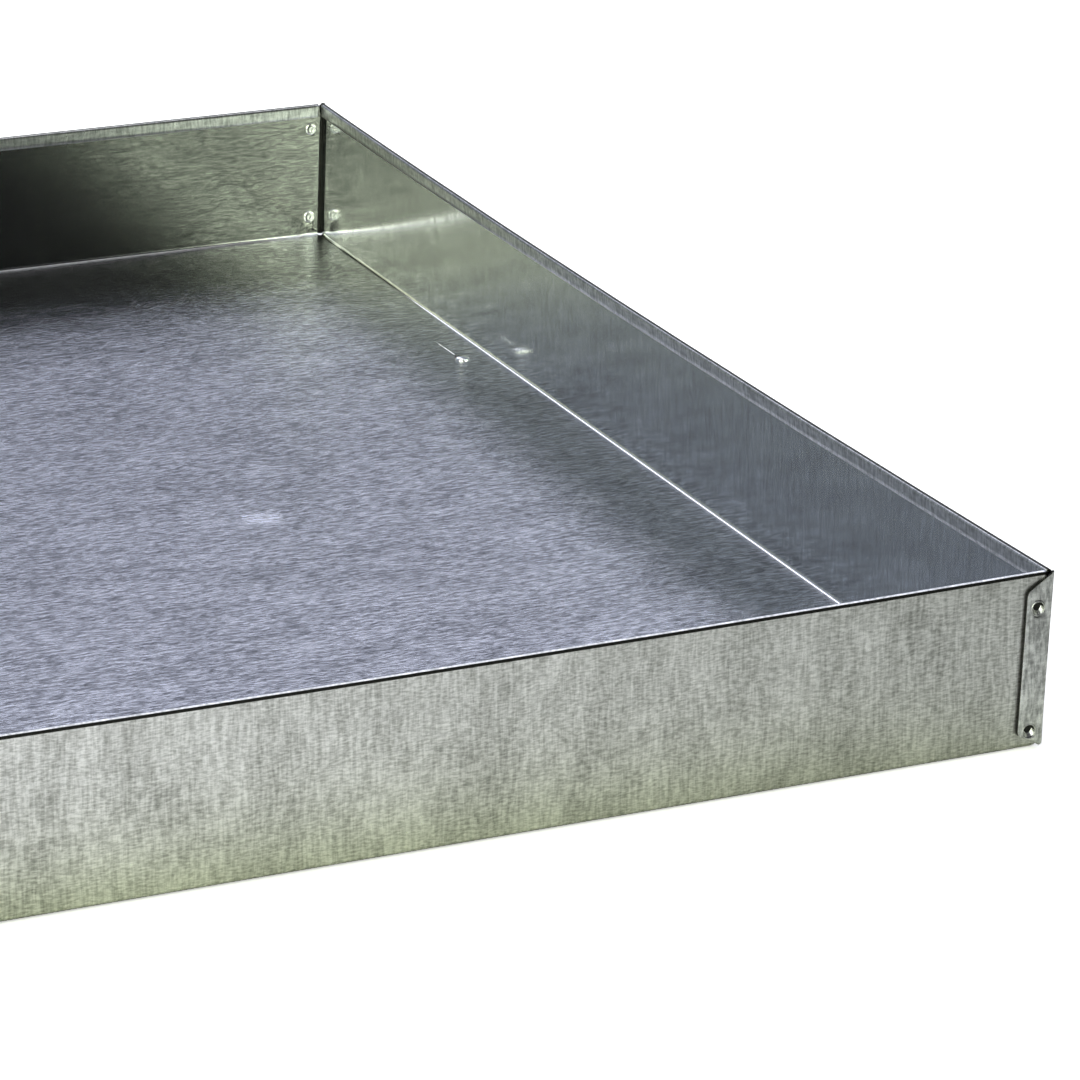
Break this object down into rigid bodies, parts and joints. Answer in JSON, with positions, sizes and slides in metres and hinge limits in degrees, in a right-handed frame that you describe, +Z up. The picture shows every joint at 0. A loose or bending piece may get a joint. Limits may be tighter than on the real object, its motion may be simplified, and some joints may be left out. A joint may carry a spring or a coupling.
{
  "type": "paint roller tray",
  "caption": "Shallow flat-bottomed rectangular tray folded from galvanised sheet steel, with hemmed rims and riveted lapped corners.",
  "frame": {"origin": "centre of the underside", "axes": "+Z up out of the tray, +Y along the longer side walls towards the back wall, +X to the right along the end walls"},
  "size_m": [0.4548, 0.6544, 0.06],
  "materials": {
    "galvanised_sheet": "satin",
    "rivet_steel": "polished"
  },
  "bodies": {
    "root": {"tray_pan": "galvanised_sheet", "front_left_lower_rivet": "rivet_steel", "front_left_upper_rivet": "rivet_steel", "front_right_lower_rivet": "rivet_steel", "front_right_upper_rivet": "rivet_steel", "back_left_lower_rivet": "rivet_steel", "back_left_upper_rivet": "rivet_steel", "back_right_lower_rivet": "rivet_steel", "back_right_upper_rivet": "rivet_steel"}
  },
  "joints": []
}
